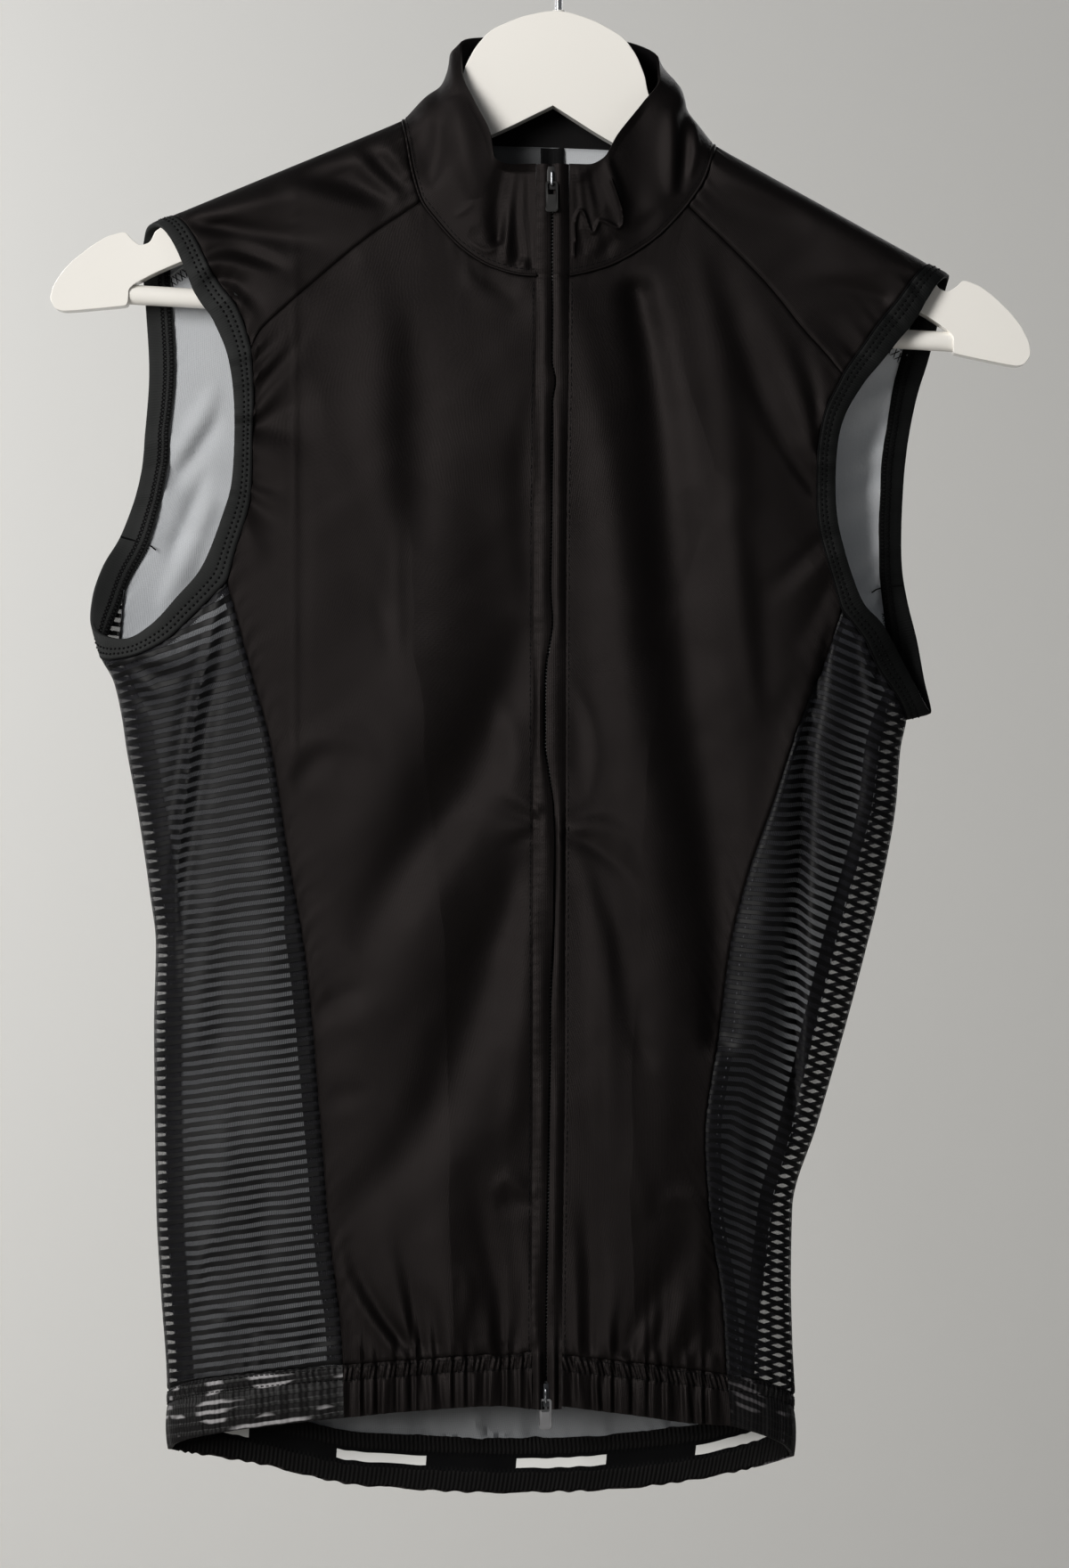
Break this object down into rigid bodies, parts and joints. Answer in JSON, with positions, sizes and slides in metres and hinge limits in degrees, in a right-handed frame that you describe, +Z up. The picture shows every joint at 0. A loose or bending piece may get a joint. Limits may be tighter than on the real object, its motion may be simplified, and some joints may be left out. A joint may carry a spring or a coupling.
{
  "type": "cycling gilet on hanger",
  "caption": "Sleeveless cycling gilet with stand collar, full zip, semi-sheer striped side panels and elastic hem, on a moulded hanger with a wire hook.",
  "frame": {"origin": "where the rail touches the inside of the hook, at the hook's top", "axes": "+Z up, +X to the right of someone who faces the zip, +Y from the front to the back of the garment"},
  "size_m": [0.4204, 0.0379, 0.695],
  "materials": {
    "outer_cloth": "smooth black knit with a soft satin sheen, pale inside",
    "striped_mesh": "black mesh with narrow level half-sheer stripes",
    "binding": "black elastic binding, matt",
    "gripper": "black elastic tape with ribbed edges",
    "label": "plain black woven label",
    "zip_tape": "black woven zip tape with nylon coils",
    "slider_top": "silver-coloured cast slider",
    "slider_bottom": "dark painted slider",
    "pull_top": "dark grey moulded pull",
    "pull_bottom": "grey metal pull",
    "hanger": "white moulded plastic with rounded edges",
    "hook": "bright plated wire"
  },
  "bodies": {
    "gilet": {"front_left": "outer_cloth", "front_right": "outer_cloth", "yoke_left": "outer_cloth", "yoke_right": "outer_cloth", "back": "outer_cloth", "collar": "outer_cloth", "placket_left": "outer_cloth", "placket_right": "outer_cloth", "hem_front_left": "outer_cloth", "hem_front_right": "outer_cloth", "hem_back": "outer_cloth", "side_left": "striped_mesh", "side_right": "striped_mesh", "hem_side_left": "striped_mesh", "hem_side_right": "striped_mesh", "binding_left": "binding", "binding_right": "binding", "gripper_tape": "gripper", "neck_label": "label", "zip_tape": "zip_tape", "slider_top": "slider_top", "slider_bottom": "slider_bottom", "hanger": "hanger", "hanger_bar": "hanger", "hanger_hook": "hook"},
    "top_pull": {"pull_top": "pull_top"},
    "bottom_pull": {"pull_bottom": "pull_bottom"}
  },
  "joints": [
    {"name": "top_pull_swing", "type": "hinge", "parent": "gilet", "child": "top_pull", "pos_m": [-0.00298, -0.02176, -0.13063], "axis": [-1, 0, 0], "range_deg": [0, 150]},
    {"name": "bottom_pull_swing", "type": "hinge", "parent": "gilet", "child": "bottom_pull", "pos_m": [-0.00558, -0.02096, -0.64757], "axis": [-1, 0, 0], "range_deg": [0, 150]}
  ]
}
